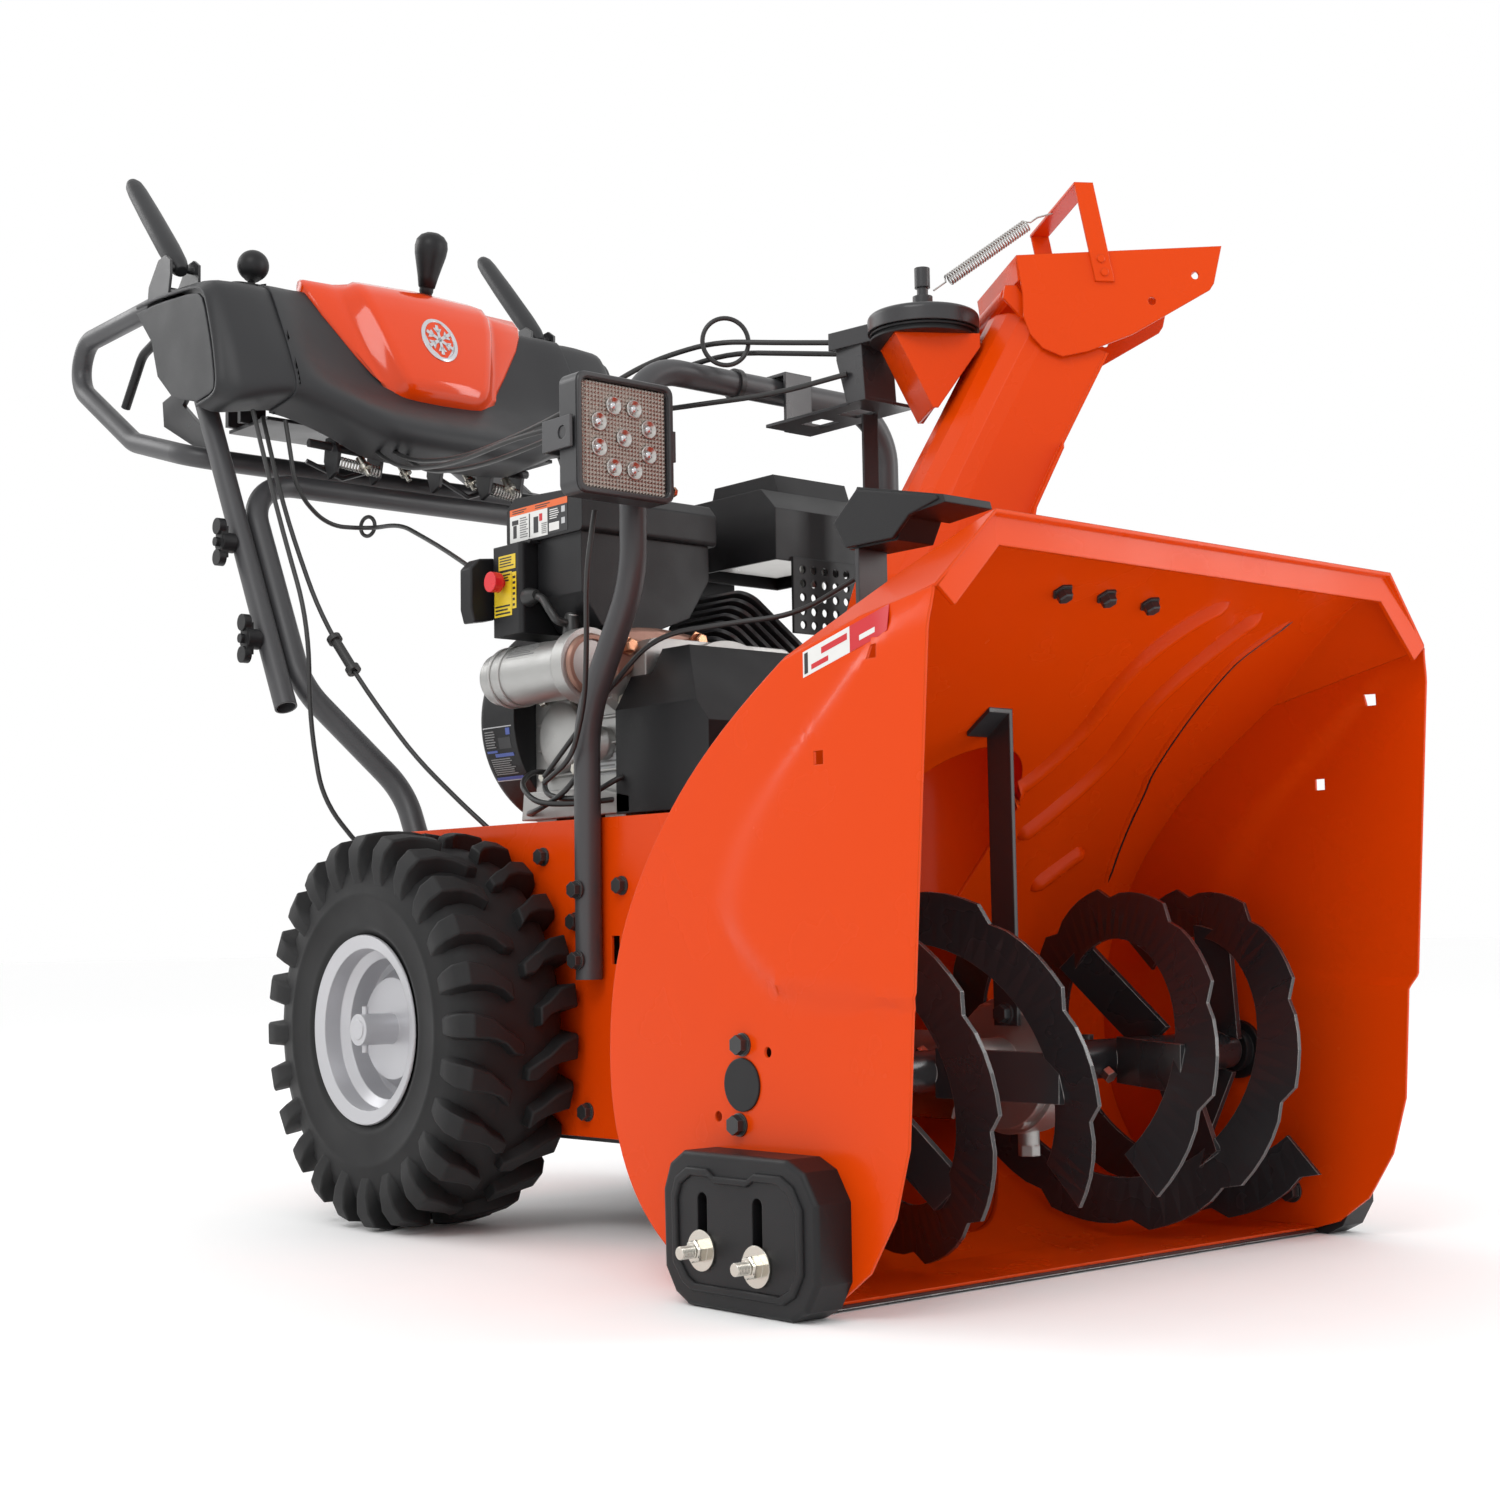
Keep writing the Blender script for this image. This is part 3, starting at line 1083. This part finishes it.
flap = [[at(x, y, z) for x, z in ((-182, 586), (-186, 600), (-186, 640), (-176, 650), (-158, 652),
                                  (-158, 590))] for y in (-50, -30)]
piece("switch_flap", loft(flap), "chassis", "black_plastic", sharp=30, bevel=1.5)
frame_bar = [at(-104, -107, 566), at(-104, -109, 600), at(-104, -109, 652), at(-112, -109, 660),
             at(-158, -109, 661)]
piece("switch_rim", tube(smooth_line(frame_bar), 2.4, 8), "chassis", "black_plastic", sharp=60)
lead_boot = lathe([(0, 0.1), (0, 9.5), (4, 9.0), (12, 7.0), (16, 5.2), (16, 0.1)], at(-156, -105, 606),
                  (-0.1, -1, 0), 20)
terminal_boot = lathe([(0, 0.1), (0, 10), (8, 9.4), (24, 7.4), (28, 5.5), (28, 0.1)],
                      at(STARTER_X, -154, 558), (0, 0.05, 1), 20)
piece("lead_boots", joined([lead_boot, terminal_boot]), "chassis", "cable_rubber", sharp=50)
print("engine details done")

# %% [markdown]
# ## Lever mechanism under the console
# Rods, two return springs and cable ends fill the space between the console and its tray.

# %% Rods and springs
works = [tube([at(-150, 330, 838), at(-60, 322, 832), at(60, 322, 832), at(150, 330, 838)], 5, 10),
         tube([at(-140, 352, 822), at(-96, 348, 806), at(-52, 344, 822)], 3.2, 8),
         tube([at(30, 350, 826), at(74, 344, 804), at(126, 350, 822)], 3.2, 8)]
for x in (-120, -64, 18, 88, 132):
    works.append(slab([(322, 848), (312, 828), (318, 806), (334, 800), (344, 822), (340, 848)],
                      x - 2.2, x + 2.2))
piece("lever_works", joined(works), "chassis", "black_paint", sharp=35)
springs = [tube(coil(at(-118, 318, 818), at(-66, 316, 812), 6.0, 14, 8), 1.1, 6),
           tube(coil(at(92, 320, 812), at(132, 322, 808), 7.5, 10, 8), 1.3, 6)]
piece("return_springs", joined(springs), "chassis", "steel", sharp=80)
ends = [lathe([(0, 0.1), (0, 5), (10, 5), (11, 7), (16, 7), (16, 3), (24, 3), (24, 0.1)], at(x, 316, 826),
              (0.3, -0.4, -0.9), 16) for x in (-92, -38, 52, 108)]
piece("cable_ends", joined(ends), "chassis", "zinc", sharp=30)
print("lever works done")

# %% [markdown]
# ## Levers and knobs
# The speed lever ends in a pear-shaped knob and the chute lever in a ball. The two drive levers are
# thick soft-coated paddles with rounded ends, each on a flat clevis plate.

# %% Knobs and paddles
stem = tube([at(40, 402, 962), at(40, 391, 1012), at(40, 380, 1062)], 5, 12)
hub = lathe([(-12, 4.1), (-12, 10), (12, 10), (12, 4.1)], at(40, 402, 968), (1, 0, 0), 24)
pear = lathe([(-4, 0.1), (-4, 7), (0, 8.5), (4, 8.5), (5, 10), (18, 12.6), (32, 16), (44, 19), (53, 20),
              (61, 18.6), (67, 14), (70.5, 7), (71, 0.1)],
             at(40, 380.5, 1058), (0, -0.223, 0.975), 40)
piece("speed_lever", joined([stem, hub, pear]), "shift_lever", "black_plastic", sharp=50,
      stands_for=["shift_lever"])
stem = tube([at(-190, 402, 962), at(-190, 388, 1034)], 4.5, 12)
hub = lathe([(-10, 4.1), (-10, 9), (10, 9), (10, 4.1)], at(-190, 402, 968), (0, 1, 0), 24)
ball = lathe([(-18.4, 5), (-17, 7.5)] + [(18 * math.sin(math.radians(a)),
                                          18 * math.cos(math.radians(a)) + 0.05)
                                         for a in range(-60, 91, 10)],
             at(-190, 385, 1048), (0, -0.19, 0.98), 40)
piece("turning_lever", joined([stem, hub, ball]), "chute_lever", "black_plastic", sharp=50,
      stands_for=["chute_lever"])

HANDLE_X = 250.4
run = Vector((0, 127, 137)).normalized()
for word, side in (("right", -1), ("left", 1)):
    start = at(side * HANDLE_X, 446, 1048)
    rings = []
    for along, wide, tall in ((-6, 7, 7), (0, 10, 10), (12, 12.5, 11.5), (40, 13.6, 12.4), (110, 13, 12),
                              (160, 11.6, 11), (174, 10.4, 9.8), (182, 7.4, 7), (186, 2.5, 2.4)):
        middle, rise = start + run * (along * MM), Vector((0, -run.z, run.y))
        rings.append([middle + Vector((wide * math.cos(a) * MM, 0, 0)) + rise * (tall * math.sin(a) * MM)
                      for a in [math.radians(15 * k) for k in range(24)]])
    piece(f"drive_paddle_{word}", loft(rings), f"{word}_drive_lever", "dark_plastic", sharp=50,
          stands_for=[f"control_lever_{word}"])
print("levers and knobs done")

# %% [markdown]
# ## Clean-out tool and engine wires
# The scoop has a closed side. Low on the engine a few loose wires loop round the case.

# %% Scoop side and wires
scoop = [(-666, 610), (-640, 588), (-653, 567), (-704, 567), (-722, 582), (-752, 589), (-750, 592)]
piece("scoop_side", slab(scoop, -249.5, -245.5), "cleanout_tool", "black_plastic", sharp=30, bevel=0.8)
loops = [[(-100, -60, 440), (-126, -66, 438), (-150, -84, 424), (-158, -120, 406), (-146, -160, 402),
          (-112, -190, 406)],
         [(-104, -150, 474), (-128, -160, 446), (-146, -150, 416), (-148, -110, 400), (-126, -60, 398),
          (-100, -44, 400)],
         [(-96, -196, 430), (-122, -200, 424), (-140, -170, 408), (-142, -120, 412), (-120, -80, 430),
          (-100, -76, 452)]]
piece("engine_wires", joined([tube(smooth_line([at(*p) for p in line]), 2.8, 8) for line in loops]),
      "chassis", "cable_rubber", sharp=60)
print("tool and wires done")

# %% [markdown]
# ## Small raised details
# The console's mould adds a framed pocket beside the hood and a soft crease below it. A red and white
# band, plain of any wording, runs along the side panel's upper edge.

# %% Console creases and corner band
def on_console(x, share, lift):
    """A point on the console's front wall; share runs from its lower to its upper edge."""
    (ya, za), (yb, zb) = station(x)[3], station(x)[4]
    length = math.hypot(yb - ya, zb - za)
    return at(x, ya + (yb - ya) * share - (zb - za) / length * lift,
              za + (zb - za) * share + (yb - ya) / length * lift)


creases = []
for side in (-1, 1):
    pocket = [(168, 0.86), (152, 0.88), (148, 0.84), (149, 0.66), (158, 0.56), (176, 0.54), (181, 0.60),
              (179, 0.82), (168, 0.86)]
    creases.append(tube(smooth_line([on_console(side * x, share, -1.2) for x, share in pocket]), 2.8, 8))
    fold = [(192, 0.30), (168, 0.27), (140, 0.20), (118, 0.10), (96, 0.02)]
    creases.append(tube(smooth_line([on_console(side * x, share, -2.0) for x, share in fold]), 3.6, 8))
piece("console_creases", joined(creases), "chassis", "dark_plastic", sharp=60)


def on_corner(u, v, lift):
    y = -664 - 92 * u
    z = 478 - (y + 640) * 0.27 - 22 + 19 * v
    return at(-PANEL_X - press(y, z) - lift, y, z)


label("corner_band", on_corner,
      [("white", 0, 0, 0.62, 1), ("red", 0.55, 0, 1, 1), ("red", 0.10, 0.15, 0.30, 0.35),
       ("red", 0.22, 0.55, 0.52, 0.8), ("white", 0.66, 0.25, 0.90, 0.45), ("black", 0.02, 0.1, 0.06, 0.9)],
      steps=8)
print("small details done")
